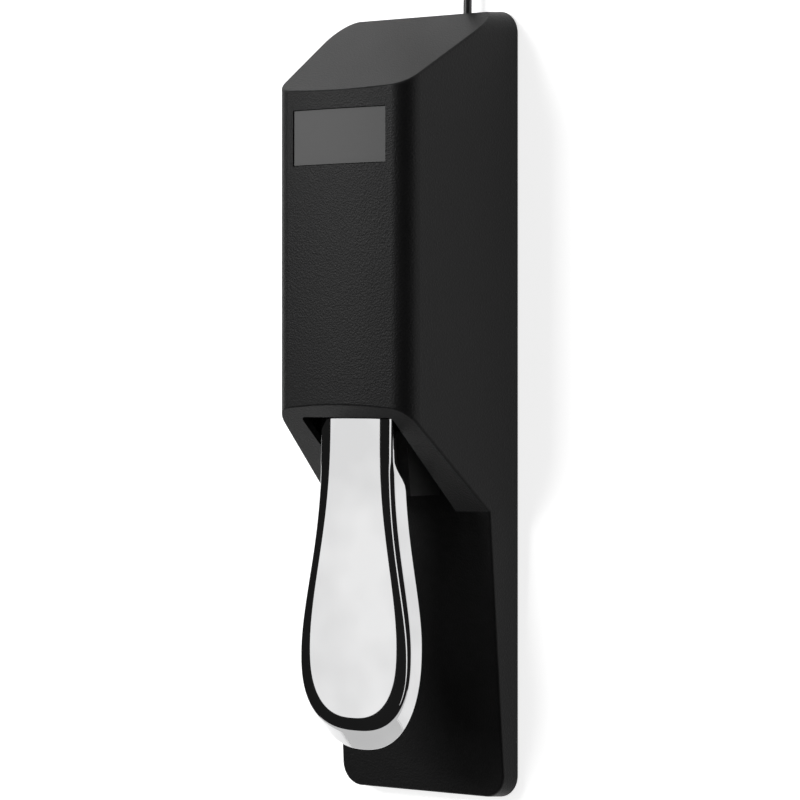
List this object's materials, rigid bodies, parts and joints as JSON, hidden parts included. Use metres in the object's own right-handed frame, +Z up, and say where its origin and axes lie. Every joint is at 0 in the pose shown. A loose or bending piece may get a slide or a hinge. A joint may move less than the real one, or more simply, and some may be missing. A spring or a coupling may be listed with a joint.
{
  "type": "sustain pedal",
  "caption": "Piano-style sustain pedal: chrome spoon-shaped lever hinged in a black wedge-shaped case, with a momentary switch, polarity slider and plug lead.",
  "frame": {"origin": "on the floor, under the middle of the case", "axes": "+X to the player's right as the toe points at the player, +Y from the toe to the lead's end, +Z up"},
  "size_m": [0.0698, 0.3736, 0.0526],
  "materials": {
    "case_plastic": "fine moulded texture, semi-matt",
    "badge_plastic": "smooth satin",
    "zinc_steel": "zinc plated sheet",
    "mat_rubber": "fine ribbed, matt",
    "screw_steel": "bright zinc",
    "lever_chrome": "polished plating",
    "nylon": "natural nylon",
    "shaft_steel": "ground",
    "felt": "pressed felt",
    "stop_rubber": "moulded, matt",
    "board_laminate": "paper laminate",
    "switch_plastic": "moulded",
    "button_plastic": "moulded",
    "lead_jacket": "extruded, satin",
    "grommet_rubber": "moulded",
    "clamp_plastic": "moulded",
    "wire_red": "extruded",
    "wire_bare": "extruded",
    "wire_grey": "extruded",
    "plug_plastic": "moulded",
    "plug_nickel": "nickel plated",
    "plug_insulation": "moulded"
  },
  "bodies": {
    "base": {"upper_case": "case_plastic", "badge_plate": "badge_plastic", "base_plate": "zinc_steel", "pivot_bracket": "zinc_steel", "rubber_mat": "mat_rubber", "case_screws": "screw_steel", "bracket_screws": "screw_steel", "board_screws": "screw_steel", "clamp_screw": "screw_steel", "spring_seat": "nylon", "board_posts": "nylon", "pivot_shaft": "shaft_steel", "shaft_clip_left": "shaft_steel", "shaft_clip_right": "shaft_steel", "return_spring": "shaft_steel", "up_stop_pad": "felt", "down_stop": "stop_rubber", "switch_board": "board_laminate", "switch_body": "switch_plastic", "polarity_body": "switch_plastic", "cable_inner": "lead_jacket", "cable": "lead_jacket", "cable_coil": "lead_jacket", "cable_end": "lead_jacket", "cable_grommet": "grommet_rubber", "plug_relief": "grommet_rubber", "cable_clamp": "clamp_plastic", "cable_tie": "clamp_plastic", "signal_wire": "wire_red", "ground_wire": "wire_bare", "link_wires": "wire_grey", "plug_handle": "plug_plastic", "plug_sleeve": "plug_nickel", "plug_tip": "plug_nickel", "plug_insulator": "plug_insulation"},
    "pedal": {"pedal_lever": "lever_chrome", "pivot_bush_left": "nylon", "pivot_bush_right": "nylon"},
    "plunger": {"switch_plunger": "button_plastic"},
    "polarity": {"polarity_slider": "button_plastic"}
  },
  "joints": [
    {"name": "pedal_hinge", "type": "hinge", "parent": "base", "child": "pedal", "pos_m": [0, 0.05, 0.03345], "axis": [1, 0, 0], "range_deg": [0, 6.8], "stiffness_Nm_per_rad": 12, "springref_deg": -6.88, "deforming": ["return_spring"]},
    {"name": "plunger_slide", "type": "slide", "parent": "base", "child": "plunger", "axis": [0, 0, -1], "range_m": [0, 0.0029]},
    {"name": "polarity_slide", "type": "slide", "parent": "base", "child": "polarity", "axis": [1, 0, 0], "range_m": [0, 0.003]}
  ],
  "couplings": [
    {"joint": "plunger_slide", "follows": "pedal_hinge", "m_per_rad": 0.024}
  ]
}
